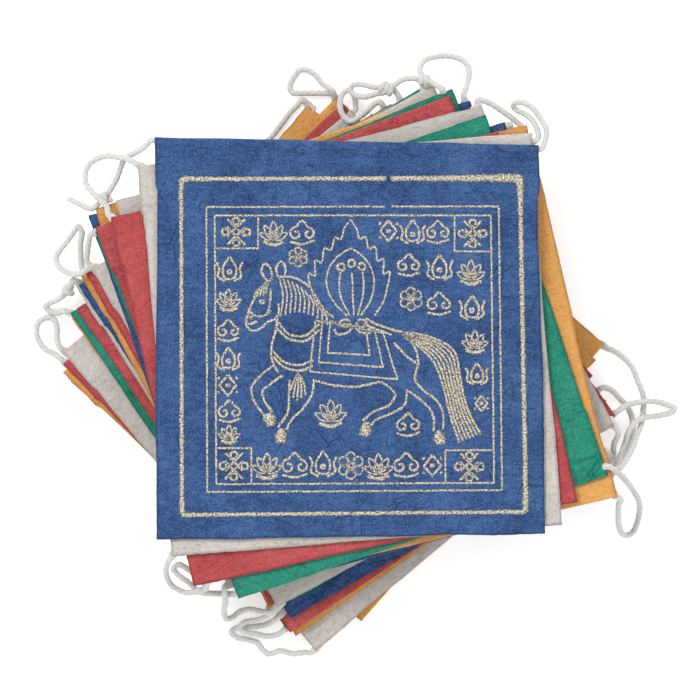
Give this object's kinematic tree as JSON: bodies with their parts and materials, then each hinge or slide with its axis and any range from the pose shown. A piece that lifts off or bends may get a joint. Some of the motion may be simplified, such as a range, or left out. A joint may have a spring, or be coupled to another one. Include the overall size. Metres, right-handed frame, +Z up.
{
  "type": "paper prayer flag string",
  "caption": "String of handmade-paper prayer flags put down as a fanned stack, joined by cotton cord looping from hem to hem.",
  "frame": {"origin": "on the surface that the stack lies on, under the middle of the flags", "axes": "+Z up out of the stack, +Y towards the top flag's hem, +X to the right of the top flag as seen from above"},
  "size_m": [0.2347, 0.2209, 0.0364],
  "materials": {
    "paper_blue": "soft matt handmade paper, dyed blue, fibres and flecks showing",
    "paper_white": "soft matt handmade paper, natural off-white, fibres and flecks showing",
    "paper_red": "soft matt handmade paper, dyed rose red, fibres and flecks showing",
    "paper_green": "soft matt handmade paper, dyed green, fibres and flecks showing",
    "paper_yellow": "soft matt handmade paper, dyed orange yellow, fibres and flecks showing",
    "string": "loosely twisted undyed cotton cord, matt",
    "gold_ink": "block-printed pale gold ink on paper, granular, slightly shiny"
  },
  "bodies": {
    "root": {"flag_01_blue": "paper_blue", "flag_02_white": "paper_white", "flag_03_red": "paper_red", "flag_04_green": "paper_green", "flag_05_yellow": "paper_yellow", "flag_06_blue": "paper_blue", "flag_07_white": "paper_white", "flag_08_red": "paper_red", "flag_09_green": "paper_green", "flag_10_yellow": "paper_yellow", "flag_11_blue": "paper_blue", "flag_12_white": "paper_white", "flag_13_red": "paper_red", "flag_14_green": "paper_green", "flag_15_yellow": "paper_yellow", "flag_16_blue": "paper_blue", "flag_17_white": "paper_white", "flag_18_red": "paper_red", "flag_19_green": "paper_green", "flag_20_yellow": "paper_yellow", "flag_21_blue": "paper_blue", "flag_22_white": "paper_white", "flag_23_red": "paper_red", "flag_24_yellow": "paper_yellow", "flag_25_yellow": "paper_yellow", "string_top_left_1": "string", "string_top_left_2": "string", "string_top_left_link": "string", "string_top_left_3": "string", "string_top_left_4": "string", "string_top_left_5": "string", "string_top_right_1": "string", "string_top_right_2": "string", "string_top_right_3": "string", "string_top_right_4": "string", "string_top_right_5": "string", "string_top_right_6": "string", "string_loose_end": "string", "string_bottom_right_1": "string", "string_bottom_right_2": "string", "string_bottom_right_3": "string", "string_bottom_right_4": "string", "string_bottom_right_5": "string", "string_bottom_left_1": "string", "string_bottom_left_2": "string", "string_bottom_left_3": "string", "string_bottom_left_4": "string", "string_bottom_left_5": "string"}
  },
  "joints": []
}
